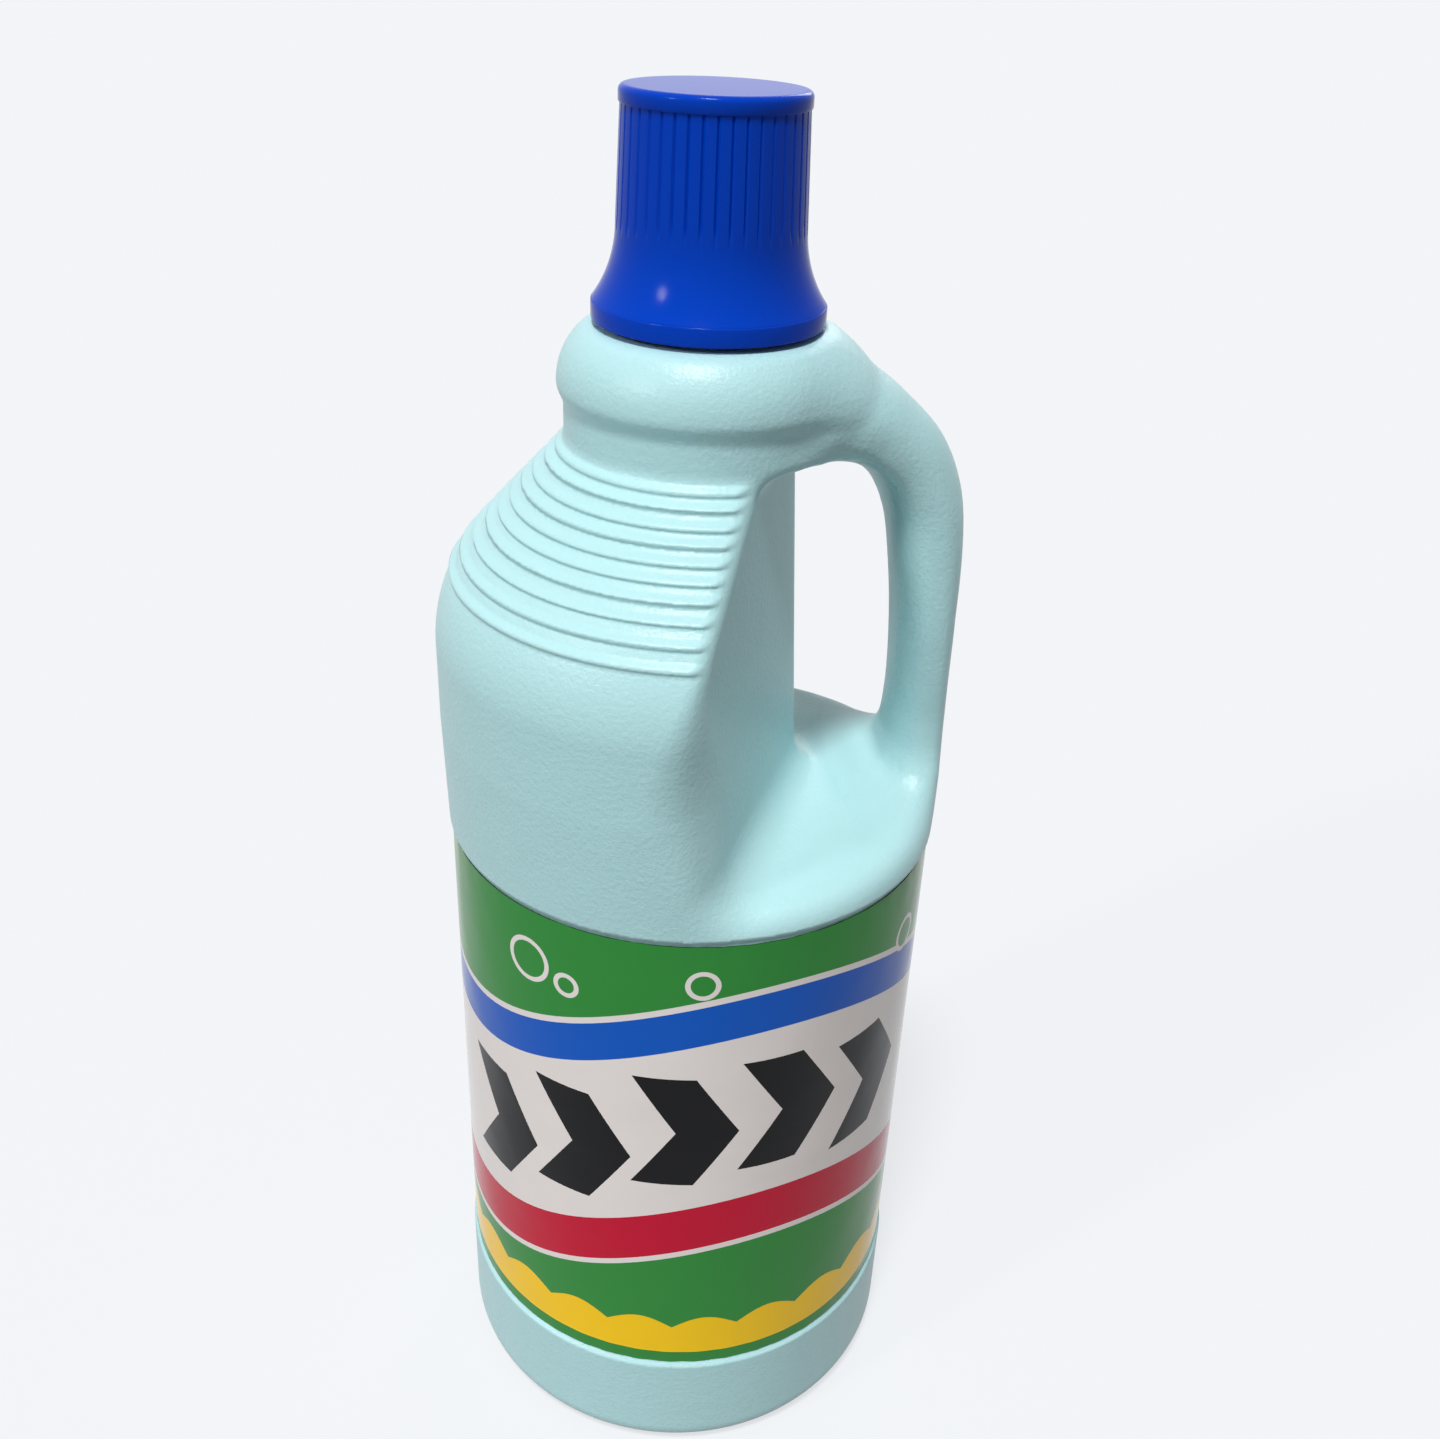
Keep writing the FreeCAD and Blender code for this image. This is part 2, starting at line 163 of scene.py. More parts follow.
# Distance from the scoop over which a ridge fades out
RIDGE_FADE = (0.4, 2.4)
RIDGE_Z = (235.4, 233.1, 230.4, 228.0, 225.4, 222.8, 220.1, 217.2, 214.0, 210.4)

# Sections of the grip: outer x and z, inner x and z, half width
GRIP = np.array([
    (4.0, 253.0, 8.0, 238.6, 19.0),
    (23.8, 255.4, 18.0, 237.2, 19.0),
    (32.4, 251.0, 24.5, 235.6, 16.8),
    (39.4, 245.8, 30.0, 232.7, 14.4),
    (47.5, 237.7, 34.2, 228.3, 12.4),
    (52.3, 227.0, 37.4, 221.6, 11.6),
    (54.6, 214.0, 39.4, 213.0, 11.6),
    (55.2, 200.0, 41.2, 200.0, 11.6),
    (55.4, 186.0, 42.2, 186.0, 11.6),
    (56.0, 176.0, 42.2, 176.0, 11.8),
    (57.0, 168.5, 41.4, 168.5, 13.6),
    (58.0, 162.0, 38.5, 162.0, 18.5),
    (58.0, 155.0, 32.0, 155.0, 26.0),
])

# The sections are ovals a little squarer than an ellipse. The arm is widest below its middle, by this share
# of its half size, so that its front leans up
GRIP_POWER = 2.3
GRIP_TILT, GRIP_TILT_Z = 0.4, (220.0, 240.0)

# The grip ends at this x and this height, and nothing of its blends reaches past the third number
GRIP_LEAST_X, GRIP_FOOT_Z, GRIP_CLEAR_X = 2.0, 153.0, -6.0

# Its blends: round its outer edges, and at given heights into the body, where the arm's is a setting
GRIP_EDGE = 2.5
GRIP_BLEND_Z = (160.0, 185.0, 215.0, 240.0, 249.0)
GRIP_BLEND_LOW, GRIP_BLEND_LEG, GRIP_BLEND_TOP = 6.0, 5.0, 6.0

# The leg's way of joining the side gives way to the arm's between these heights
GRIP_TAKEOVER_Z = (185.0, 205.0)

# Neck, spout and cap, in millimetres
NECK_R, BORE_R, NECK_TOP = 13.4, 11.6, 280.96
THREAD_LEAD, THREAD_TURNS, THREAD_DEPTH = 4.23, 1.75, 1.2
THREAD_START, CAP_THREAD_DROP = 269.96, 1.8
THREAD_HALF_ROOT, THREAD_FLANK, THREAD_FADE = 1.0, 0.5, 0.05
NECK_FLOOR = 262.0
CAP_TOP, CAP_R, CAP_EDGE = 299.96, 17.25, 1.1
GRIP_TOP_R, GRIP_FOOT_R, RIM_H = 16.95, 17.65, 3.0
SKIRT_FOOT, SKIRT_BAND, SKIRT_R, FLARE_TOP = 259.6, 3.6, 22.2, 276.76
CUP_R, CAP_BORE_R, CAP_ROOF, CAP_STEP = 12.9, 15.0, 298.16, 283.66
TUBE_R, TUBE_FOOT, POCKET_ROOF = 16.4, 266.36, 270.36
CAP_WALL = 1.5

# Turned meshes end this close to the axis
AXIS_R = 0.01


def smooth_max(a, b, k):
    """The larger of two fields, with a rounding about k wide where they meet."""
    h = np.maximum(k - np.abs(a - b), 0.0) / k
    return np.maximum(a, b) + h * h * k * 0.25


def smooth_min(a, b, k):
    return -smooth_max(-a, -b, k)


def ease(x, start, stop):
    """0 before start, 1 after stop, and a smooth curve between."""
    t = np.clip((x - start) / (stop - start), 0.0, 1.0)
    return t * t * (3 - 2 * t)


def meridian():
    """Heights, radii and arc lengths along the side of the body."""
    z = np.arange(-20.0, 275.0, 0.1)
    arc_r = BULGE_R - SHOULDER_ARC
    shoulder_end = (arc_r + SHOULDER_ARC * math.cos(SLOPE), SHOULDER_Z + SHOULDER_ARC * math.sin(SLOPE))
    waist_start = (
        WAIST_R + WAIST_ARC - WAIST_ARC * math.cos(SLOPE), WAIST_Z - WAIST_ARC * math.sin(SLOPE)
    )
    r = np.interp(
        z,
        [0, SLEEVE_FOOT - 1, SLEEVE_FOOT, SLEEVE_TOP, SLEEVE_TOP + 1, BULGE_Z, SHOULDER_Z],
        [BODY_R, BODY_R, LABEL_R, LABEL_R, BODY_R, BULGE_R, BULGE_R],
    )
    arc = (z > SHOULDER_Z) & (z <= shoulder_end[1])
    r[arc] = arc_r + np.sqrt(SHOULDER_ARC ** 2 - (z[arc] - SHOULDER_Z) ** 2)
    straight = (z > shoulder_end[1]) & (z <= waist_start[1])
    r[straight] = np.interp(z[straight], [shoulder_end[1], waist_start[1]], [shoulder_end[0], waist_start[0]])
    waist = (z > waist_start[1]) & (z <= WAIST_Z)
    r[waist] = WAIST_R + WAIST_ARC - np.sqrt(WAIST_ARC ** 2 - (WAIST_Z - z[waist]) ** 2)
    top = z > WAIST_Z
    r[top] = WAIST_R + (COLLAR_R - WAIST_R) * ease(z[top], WAIST_TOP, COLLAR_Z)
    collar = z > COLLAR_Z
    rise = np.minimum(z[collar] - COLLAR_Z, COLLAR_ARC * COLLAR_ARC_END)
    r[collar] = COLLAR_R - COLLAR_ARC + np.sqrt(COLLAR_ARC ** 2 - rise ** 2)
    for _ in range(2):
        r[1:-1] = (r[:-2] + 2 * r[1:-1] + r[2:]) / 4
    slope = np.gradient(r, z)
    along = np.concatenate([[0], np.cumsum(np.hypot(np.diff(r), np.diff(z)))])
    return z, r, slope, along


MERIDIAN_Z, MERIDIAN_R, MERIDIAN_SLOPE, MERIDIAN_S = meridian()
RIDGE_S = np.interp(RIDGE_Z, MERIDIAN_Z, MERIDIAN_S)


def grip_line():
    """The grip's sections, smoothly filled in: centre x and z, unit direction outwards, two half sizes."""
    outer, inner, wide = GRIP[:, :2], GRIP[:, 2:4], GRIP[:, 4:]
    rows = np.hstack([outer, inner, wide])
    padded = np.vstack([2 * rows[0] - rows[1], rows, 2 * rows[-1] - rows[-2]])
    fine = []
    steps = 6
    for i in range(1, len(padded) - 2):
        p0, p1, p2, p3 = padded[i - 1:i + 3]
        for j in range(steps):
            t = j / steps
            fine.append(0.5 * (2 * p1 + (p2 - p0) * t + (2 * p0 - 5 * p1 + 4 * p2 - p3) * t * t
                               + (3 * p1 - p0 - 3 * p2 + p3) * t ** 3))
    fine.append(rows[-1])
    fine = np.array(fine)
    centre = (fine[:, :2] + fine[:, 2:4]) / 2
    across = fine[:, :2] - fine[:, 2:4]
    half = np.hypot(across[:, 0], across[:, 1]) / 2
    return centre, across / (2 * half[:, None]), half, fine[:, 4]


GRIP_CENTRE, GRIP_OUT, GRIP_HALF, GRIP_WIDE = grip_line()
GRIP_STEP = np.gradient(GRIP_CENTRE, axis=0)
GRIP_ALONG = GRIP_STEP / np.hypot(GRIP_STEP[:, :1], GRIP_STEP[:, 1:])


def grip_section(x, z):
    """Distance outwards from the grip's centre line in the plane Y = 0, and the section's half sizes."""
    last = len(GRIP_CENTRE) - 1
    ahead = [(x - cx) * tx + (z - cz) * tz for (cx, cz), (tx, tz) in zip(GRIP_CENTRE, GRIP_ALONG)]
    best = np.full(x.shape, 1e9)
    place = np.where(ahead[0] < 0, 0.0, float(last))
    for j in range(last):
        between = (ahead[j] >= 0) & (ahead[j + 1] < 0)
        t = ahead[j] / np.where(between, ahead[j] - ahead[j + 1], 1.0)
        (x0, z0), (x1, z1) = GRIP_CENTRE[j:j + 2]
        gap = (x - x0 - t * (x1 - x0)) ** 2 + (z - z0 - t * (z1 - z0)) ** 2
        nearer = between & (gap < best)
        best = np.where(nearer, gap, best)
        place = np.where(nearer, j + t, place)
    index = np.arange(last + 1)
    cx, cz = (np.interp(place, index, GRIP_CENTRE[:, i]) for i in (0, 1))
    ox, oz = (np.interp(place, index, GRIP_OUT[:, i]) for i in (0, 1))
    half = np.interp(place, index, GRIP_HALF)
    wide = np.interp(place, index, GRIP_WIDE)
    return (x - cx) * ox + (z - cz) * oz, half, wide


def side_field(r, z, bead):
    """Distance to the turned side of the body, with the ridges' height added."""
    radius = np.interp(z, MERIDIAN_Z, MERIDIAN_R)
    slope = np.interp(z, MERIDIAN_Z, MERIDIAN_SLOPE)
    return (r - radius) / np.sqrt(1 + slope ** 2) - bead


def bottle_field(x, y, z, settings):
    """Distance to the skin in millimetres, below zero inside the blown body and about true near the skin."""
    r = np.hypot(x, y)
    across = np.abs(y)
    # Scoop: two faces that meet in the nose, a shelf and a top
    outer = np.minimum(across / BODY_R, 1.0)
    drop = np.maximum(SCOOP_FLARE_TOP - z, 0.0)
    lean = SCOOP_LEAN * np.maximum(SCOOP_LEAN_TOP - z, 0.0) * (1 - outer)
    lean = lean + SCOOP_FLARE * drop * drop / (drop + SCOOP_FLARE_START) * outer
    faces = (x - NOSE_X - lean) * math.sin(SCOOP_HALF_ANGLE)
    faces = faces + np.sqrt(across ** 2 + NOSE_BLUNT) * math.cos(SCOOP_HALF_ANGLE)
    shelf = z - (SHELF_Z - SHELF_FALL * (across / SHELF_HALF_WIDTH) ** 2)
    void = smooth_min(faces, shelf, SHELF_ROUND)
    ceiling = CEILING_Z + CEILING_SLOPE * np.clip(x - CEILING_X, 0.0, CEILING_LENGTH)
    void = smooth_min(void, ceiling - z, CEILING_ROUND)
    # Side with its ridges, which fade out just before the scoop
    s = np.interp(z, MERIDIAN_Z, MERIDIAN_S)
    bead = np.zeros(np.broadcast(x, y, z).shape)
    half = settings["ridge_half_width"]
    near = (s > RIDGE_S.min() - half) & (s < RIDGE_S.max() + half)
    if near.any():
        reach = np.abs(s[..., None] - RIDGE_S).min(-1)
        ring = np.cos(np.minimum(reach / half, 1.0) * math.pi / 2) ** 2 * settings["ridge_height"]
        bead = ring * ease(-faces, *RIDGE_FADE)
    side = side_field(r, z, bead)
    base = np.hypot(np.maximum(r - BODY_R + BASE_CORNER, 0), np.maximum(BASE_CORNER - z, 0)) - BASE_CORNER
    base = base + np.minimum(np.maximum(r - BODY_R + BASE_CORNER, BASE_CORNER - z), 0)
    body = np.where(z < 2 * BASE_CORNER, base, side)
    push_up = PUSH_UP * (1 - ease(r, PUSH_UP_EDGE_R, FOOT_R))
    body = np.where(z < 2 * BASE_CORNER, smooth_max(body, push_up - z, FOOT_ROUND), body)
    body = smooth_max(body, z - COLLAR_TOP, COLLAR_ROUND)
    crease = settings["crease_round"] + CREASE_LOW * (1 - ease(z, *CREASE_LOW_Z))
    crease = crease - CREASE_SHELF * (1 - ease(z, *CREASE_SHELF_Z))
    cut = smooth_max(body, void, crease)
    # Grip
    if x.max() < GRIP_CLEAR_X:
        return cut
    u, half, wide = grip_section(*np.broadcast_arrays(x, z))
    tilt = GRIP_TILT * ease(z, *GRIP_TILT_Z)
    u = u + tilt * half
    half = half * np.where(u > 0, 1 + tilt, 1 - tilt)
    a = np.abs(u) / half + 1e-6
    b = across / wide + 1e-6
    g = a ** GRIP_POWER + b ** GRIP_POWER
    g1 = g ** (1 / GRIP_POWER - 1)
    rate = np.hypot(g1 * a ** (GRIP_POWER - 1) / half, g1 * b ** (GRIP_POWER - 1) / wide)
    grip = (g ** (1 / GRIP_POWER) - 1) / np.maximum(rate, 0.02)
    grip = np.maximum(grip, GRIP_FOOT_Z - z)
    grip = np.maximum(grip, GRIP_LEAST_X - x)
    blends = (GRIP_BLEND_LOW, GRIP_BLEND_LEG, GRIP_BLEND_LEG, settings["grip_blend"], GRIP_BLEND_TOP)
    blend = np.interp(z, GRIP_BLEND_Z, blends)
    # Below the shoulder the leg and the shelf join first, and the side rounds them off together
    share = np.clip(0.5 + (grip - void) / (2 * blend), 0.0, 1.0)
    low = smooth_max(body, smooth_min(void, grip, blend), GRIP_EDGE + (crease - GRIP_EDGE) * share)
    # Above it the arm stands out from the neck, as far as the shoulder's widest circle
    limit = side_field(r, np.minimum(z, SHOULDER_Z), 0.0)
    high = np.maximum(smooth_min(cut, smooth_max(grip, limit, GRIP_EDGE), blend), limit)
    return low + (high - low) * ease(z, *GRIP_TAKEOVER_Z)


def surface_net(xs, ys, zs, field):
    """Points and quads on the zero surface of a sampled field."""
    shape = field.shape
    cells = tuple(n - 1 for n in shape)
    inside = field < 0
    total = np.zeros(cells + (3,))
    count = np.zeros(cells)
    quads = []
    axes = (xs, ys, zs)
    for axis in range(3):
        low = [slice(None)] * 3
        high = [slice(None)] * 3
        low[axis] = slice(0, -1)
        high[axis] = slice(1, None)
        first, second = field[tuple(low)], field[tuple(high)]
        index = np.array(np.nonzero(inside[tuple(low)] != inside[tuple(high)]))
        f0, f1 = first[tuple(index)], second[tuple(index)]
        point = np.stack([axes[i][index[i]] for i in range(3)], 1)
        t = f0 / (f0 - f1)
        point[:, axis] += t * (axes[axis][index[axis] + 1] - axes[axis][index[axis]])
        b, c = [i for i in range(3) if i != axis]
        corners = []
        for db, dc in ((1, 1), (0, 1), (0, 0), (1, 0)):
            cell = index.copy()
            cell[b] -= db
            cell[c] -= dc
            np.add.at(total, tuple(cell), point)
            np.add.at(count, tuple(cell), 1)
            corners.append(np.ravel_multi_index(tuple(cell), cells))
        ring = np.stack(corners, 1)
        flip = (f0 < 0) ^ (axis == 1)
        ring[~flip] = ring[~flip][:, ::-1]
        quads.append(ring)
    quads = np.vstack(quads)
    used, place = np.unique(quads, return_inverse=True)
    points = total.reshape(-1, 3)[used] / count.reshape(-1)[used][:, None]
    return points, place.reshape(quads.shape)


def gradient(field, points):
    """Steepness of a field at points, along x, y and z."""
    step = 0.05
    rows = []
    for axis in range(3):
        shift = np.zeros(3)
        shift[axis] = step
        ahead = field(*(points + shift).T)
        behind = field(*(points - shift).T)
        rows.append((ahead - behind) / (2 * step))
    return np.stack(rows, 1)


def settle(points, quads, field):
    """Draws the net's points onto the surface, evens them out along it, and returns their normals."""
    edges = np.vstack([quads[:, [i, (i + 1) % 4]] for i in range(4)])
    n = len(points)
    for turn in range(4):
        slope = gradient(field, points)
        size = (slope ** 2).sum(1)
        move = field(*points.T) / np.maximum(size, 0.2)
        points = points - slope * np.clip(move, -0.8, 0.8)[:, None]
        if turn < 3:
            normal = slope / np.sqrt(np.maximum(size, 1e-9))[:, None]
            weight = np.bincount(edges[:, 0], minlength=n)
            mean = np.stack([np.bincount(edges[:, 0], points[edges[:, 1], i], n) for i in range(3)], 1)
            shift = mean / weight[:, None] - points
            shift -= normal * (shift * normal).sum(1)[:, None]
            points = points + 0.5 * shift
    slope = gradient(field, points)
    return points, slope / np.linalg.norm(slope, axis=1)[:, None]


def new_mesh(name, points, faces, materials, face_materials=None, normals=None):
    """A smooth-shaded object from points in millimetres."""
    mesh = bpy.data.meshes.new(name)
    mesh.from_pydata((np.asarray(points) * MM).tolist(), [], [list(map(int, face)) for face in faces])
    for material in materials:
        mesh.materials.append(material)
    if face_materials is not None:
        mesh.polygons.foreach_set("material_index", np.asarray(face_materials, np.int32))
    mesh.polygons.foreach_set("use_smooth", np.ones(len(mesh.polygons), bool))
    mesh.update()
    if normals is not None:
        mesh.normals_split_custom_set_from_vertices(normals.tolist())
    obj = bpy.data.objects.new(name, mesh)
    bpy.context.scene.collection.objects.link(obj)
    return obj


def add_node(tree, kind, settings=None, links=None):
    """Adds one shader node, sets its properties or inputs, and links its inputs to other nodes' outputs."""
    node = tree.nodes.new(kind)
    for key, value in (settings or {}).items():
        if key in node.inputs:
            node.inputs[key].default_value = value
        else:
            setattr(node, key, value)
    for key, (source, output) in (links or {}).items():
        tree.links.new(source.outputs[output], node.inputs[key])
    return node


def new_material(name, surface):
    """A material with a Principled surface, and its node tree."""
    material = bpy.data.materials.new(name)
    material.use_nodes = True
    tree = material.node_tree
    shader = tree.nodes["Principled BSDF"]
    for key, value in surface.items():
        shader.inputs[key].default_value = value
    return material, tree, shader


def blown_polyethylene(settings):
    """Blow-moulded HDPE: satin and slightly waxy, with the fine grain of the sand-blasted mould."""
    material, tree, shader = new_material("blown HDPE", {
        "Base Color": settings.plastic,
        "Roughness": 0.38,
        "IOR": 1.54,
        "Specular IOR Level": 0.32,
        "Subsurface Weight": 0.12,
        "Subsurface Radius": (0.004, 0.005, 0.005),
        "Subsurface Scale": 0.6,
    })
    place = add_node(tree, "ShaderNodeTexCoord")
    # The mould's grain is about 0.5 mm across; it is drawn at 1 mm so that it shows in the render
    grain = add_node(tree, "ShaderNodeTexNoise", {"Scale": 1 / (1.0 * MM), "Detail": 2.0, "Roughness": 0.6},
                     {"Vector": (place, "Object")})
    # The blown wall swells slightly, about every 9 mm
    swell = add_node(tree, "ShaderNodeTexNoise", {"Scale": 1 / (9 * MM), "Detail": 1.0},
                     {"Vector": (place, "Object")})
    bump = add_node(tree, "ShaderNodeBump", {"Strength": 0.5, "Distance": 0.25 * MM},
                    {"Height": (grain, "Fac")})
    wave = add_node(tree, "ShaderNodeBump", {"Strength": 0.2, "Distance": 0.5 * MM},
                    {"Height": (swell, "Fac"), "Normal": (bump, "Normal")})
    tree.links.new(wave.outputs["Normal"], shader.inputs["Normal"])
    return material


def printed_film(name, ink):
    """Shrink film printed on its inner face: glossy over a flat colour."""
    material, tree, shader = new_material(name, {
        "Base Color": ink,
        "Roughness": 0.14,
        "IOR": 1.57,
        "Specular IOR Level": 0.1,
    })
    place = add_node(tree, "ShaderNodeTexCoord")
    # Shrinking leaves ripples of about 14 mm in the film
    ripple = add_node(tree, "ShaderNodeTexNoise", {"Scale": 1 / (14 * MM), "Detail": 1.5},
                      {"Vector": (place, "Object")})
    bump = add_node(tree, "ShaderNodeBump", {"Strength": 0.5, "Distance": 0.5 * MM},
                    {"Height": (ripple, "Fac")})
    tree.links.new(bump.outputs["Normal"], shader.inputs["Normal"])
    return material


def moulded_polypropylene(settings):
    """Injection-moulded polypropylene: smooth and even, with a faint gloss."""
    material, _, _ = new_material("moulded polypropylene", {
        "Base Color": settings.plastic,
        "Roughness": 0.16,
        "IOR": 1.49,
        "Specular IOR Level": 0.06,
    })
    return material


class OBJECT_OT_bleach_blown_body(bpy.types.Operator):
    """Builds the blown body's skin with its scoop, ridges and grip, and the threaded neck"""
    bl_idname = "object.bleach_blown_body"
    bl_label = "Blown body"

    def execute(self, context):
        settings = context.scene.bleach_body
        material = blown_polyethylene(settings)
        sizes = {
            "ridge_height": settings.ridge_height / MM,
            "ridge_half_width": settings.ridge_half_width / MM,
            "crease_round": settings.crease_round / MM,
            "grip_blend": settings.grip_blend / MM,
        }

        def field(x, y, z):
            return bottle_field(x, y, z, sizes)

        step = settings.grid / MM
        reach = BULGE_R + 2 * step
        count = int(2 * reach / step)
        xs = np.linspace(-reach, reach, count + 1)
        ys = xs.copy()
        # Bands of height with the gap between their levels: finest at the recess's two steps and the ridges
        bands = ((-2.4, 28, 1.2), (28, 31, 0.6), (31, 151, 5.0), (151, 154.2, 0.6), (154.2, 206, step),
                 (206, 239, 0.5), (239, 262, 0.8))
        levels = []
        for low, high, gap in bands:
            levels += list(np.linspace(low, high, max(2, round((high - low) / gap)), endpoint=False))
        zs = np.array(levels + [bands[-1][1]])
        samples = np.empty((len(xs), len(ys), len(zs)))
        for i, x in enumerate(xs):
            block = np.full((len(ys), len(zs)), x)
            samples[i] = field(block, ys[:, None] + np.zeros_like(block), zs[None, :] + np.zeros_like(block))
        points, quads = surface_net(xs, ys, zs, samples)
        points, normals = settle(points, quads, field)
        skin = new_mesh("blown_body", points, quads, [material], normals=normals)
        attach(skin, "body")
        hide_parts("bottle")
        neck = new_mesh("neck_finish", *neck_finish(), [material])
        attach(neck, "body")
        return {"FINISHED"}


def thread_height(angle, z, start):
    """Height of a right-hand screw thread's section at an angle in turns and a height, from 0 to 1."""
    best = np.zeros(np.broadcast(angle, z).shape)
    for turn in range(3):
        travel = angle + turn
        centre = start + THREAD_LEAD * travel
        offset = np.abs(z - centre)
        height = np.clip((THREAD_HALF_ROOT - offset) / THREAD_FLANK, 0.0, 1.0)
        live = ease(travel, 0.0, THREAD_FADE) * (1 - ease(travel, THREAD_TURNS - THREAD_FADE, THREAD_TURNS))
        best = np.maximum(best, height * live)
    return best


def turned_mesh(rows, turns, shape):
    """A turned mesh from rows (r, z) at angles in turns; shape(r, turns, z) gives each point's radius."""
    columns = len(turns)
    r = np.repeat(rows[:, :1], columns, 1)
    z = np.repeat(rows[:, 1:2], columns, 1)
    r = shape(r, turns[None, :], z)
    angle = 2 * math.pi * turns
    points = np.stack([r * np.cos(angle), r * np.sin(angle), z], 2).reshape(-1, 3)
    i = np.arange(len(rows) - 1)[:, None] * columns
    j = np.arange(columns)[None, :]
    k = (j + 1) % columns
    quads = np.stack([i + j, i + k, i + columns + k, i + columns + j], 2).reshape(-1, 4)
    return points, quads


def neck_finish():
    """The neck's threaded wall, its rim and its bore."""
    outside = [(NECK_R, z) for z in np.arange(COLLAR_TOP - 2, NECK_TOP - 0.4, 0.25)]
    rim = [(NECK_R - 0.1, NECK_TOP - 0.15), (NECK_R - 0.3, NECK_TOP), (BORE_R + 0.3, NECK_TOP),
           (BORE_R, NECK_TOP - 0.3)]
    inside = [(BORE_R, NECK_FLOOR), (AXIS_R, NECK_FLOOR)]

    def add_thread(r, turns, z):
        on_wall = np.abs(r - NECK_R) < 0.001
        return r + np.where(on_wall, THREAD_DEPTH * thread_height(turns, z, THREAD_START), 0.0)

    return turned_mesh(np.array(outside + rim + inside), np.arange(120) / 120, add_thread)


# The film's edge puckers: how far in from the edge, how fast round it, and the span over which it changes
PUCKER_FADE, PUCKER_RATE, PUCKER_SPAN = 4.0, 0.9, 90.0

# The wave's middle height, its swing, how many times it repeats round the bottle, and its start
WAVE_Z, WAVE_SWING, WAVE_COUNT, WAVE_START = 96.0, 10.0, 2, 0.7

# Chevrons along the wave, and bubbles as place along the film, height and radius from each group's middle
CHEVRON = np.array([(-10.0, -15.0), (3.5, -15.0), (13.0, 0.0), (3.5, 15.0), (-10.0, 15.0), (-0.5, 0.0)])
CHEVRON_PITCH, CHEVRON_RISE, JOIN_MARGIN = 23.0, 0.5, 14.0
BUBBLES = ((-34, 139.5, 5.4), (-24.5, 137, 3.0), (4, 142.5, 3.6), (58, 136, 4.4))
BUBBLE_RING = 1.1
SCALLOP_COUNT, SCALLOP_RISE, SCALLOP_LOW, SCALLOP_HIGH = 22, 3.2, 3.4, 12.0


class OBJECT_OT_bleach_sleeve(bpy.types.Operator):
    """Builds the printed film sleeve round the body"""
    bl_idname = "object.bleach_sleeve"
    bl_label = "Printed sleeve"

    def execute(self, context):
        settings = context.scene.bleach_sleeve
        low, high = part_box("label")
        foot, top = low.z / MM, high.z / MM
        radius = node_radius("label") / MM
        inks = ["green", "crimson", "white", "blue", "yellow", "black"]
        materials = [printed_film("film with " + ink + " ink", getattr(settings, ink)) for ink in inks]
        around = 2 * math.pi * radius
        shapes = sleeve_artwork(around, foot)
        points, faces, face_inks = flat_print(around, foot, top, settings.grid / MM, shapes, inks)
        # The sleeve's ends meet at the back, and its middle faces the front
        middle = math.radians(-97)
        turn = middle + (points[:, 0] - around / 2) / radius

        def film_radius(u, z):
            rim = np.minimum(z - foot, top - z)
            folds = np.exp(-np.maximum(rim, 0.0) / PUCKER_FADE) * (0.5 + 0.5 * np.sin(u * PUCKER_RATE))
            depth = 0.35 + 0.65 * np.cos((u - around / 2) * math.pi / PUCKER_SPAN) ** 2
            return radius - settings.pucker / MM * folds * depth

        u, z = points.T
        r = film_radius(u, z)
        step = 0.1
        lean_u = (film_radius(u + step, z) - r) / step
        lean_z = (film_radius(u, z + step) - r) / step
        cos, sin = np.cos(turn), np.sin(turn)
        outer = np.stack([r * cos, r * sin, z], 1)
        thin = settings.film / MM
        inner = np.stack([(r - thin) * cos, (r - thin) * sin, z], 1)
        normals = np.stack([cos + lean_u * sin, sin - lean_u * cos, -lean_z], 1)
        normals /= np.linalg.norm(normals, axis=1)[:, None]
        n = len(outer)
        edges = {}
        for face in faces:
            for i in range(3):
                a, b = face[i], face[(i + 1) % 3]
                edges[(a, b)] = edges.get((a, b), 0) + 1
        rim_faces = [(b, a, a + n, b + n) for (a, b) in edges if (b, a) not in edges]
        flipped = [tuple(v + n for v in reversed(face)) for face in faces]
        all_faces = [tuple(face) for face in faces] + flipped + rim_faces
        all_inks = list(face_inks) + [inks.index("green")] * (len(flipped) + len(rim_faces))
        sleeve = new_mesh("printed_sleeve", np.vstack([outer, inner]), all_faces, materials, all_inks,
                          np.vstack([normals, -normals]))
        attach(sleeve, "body")
        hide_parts("label")
        return {"FINISHED"}


def disc(u, z, radius):
    """Outline of a round spot on the unrolled film."""
    steps = 40
    turn = np.arange(steps) * 2 * math.pi / steps
    return np.stack([u + radius * np.cos(turn), z + radius * np.sin(turn)], 1)


def close_points(outline, gap):
    """The same outline with more points, so that no straight piece of it cuts into the round body."""
    pieces = []
    for start, stop in zip(outline, np.roll(outline, -1, 0)):
        count = max(1, math.ceil(np.hypot(*(stop - start)) / gap))
        pieces.append(start + (stop - start) * (np.arange(count) / count)[:, None])
    return np.vstack(pieces)


def wave_z(u, around):
    """Middle height of the wave, which closes on itself round the bottle."""
    return WAVE_Z + WAVE_SWING * np.sin(2 * math.pi * u * WAVE_COUNT / around + WAVE_START)


def wave_band(around, low, high):
    """The part of the wave between two heights over its middle."""
    u = np.arange(0, around + 0.01, around / 160)
    middle = wave_z(u, around)
    return np.vstack([np.stack([u, middle + low], 1), np.stack([u, middle + high], 1)[::-1]])


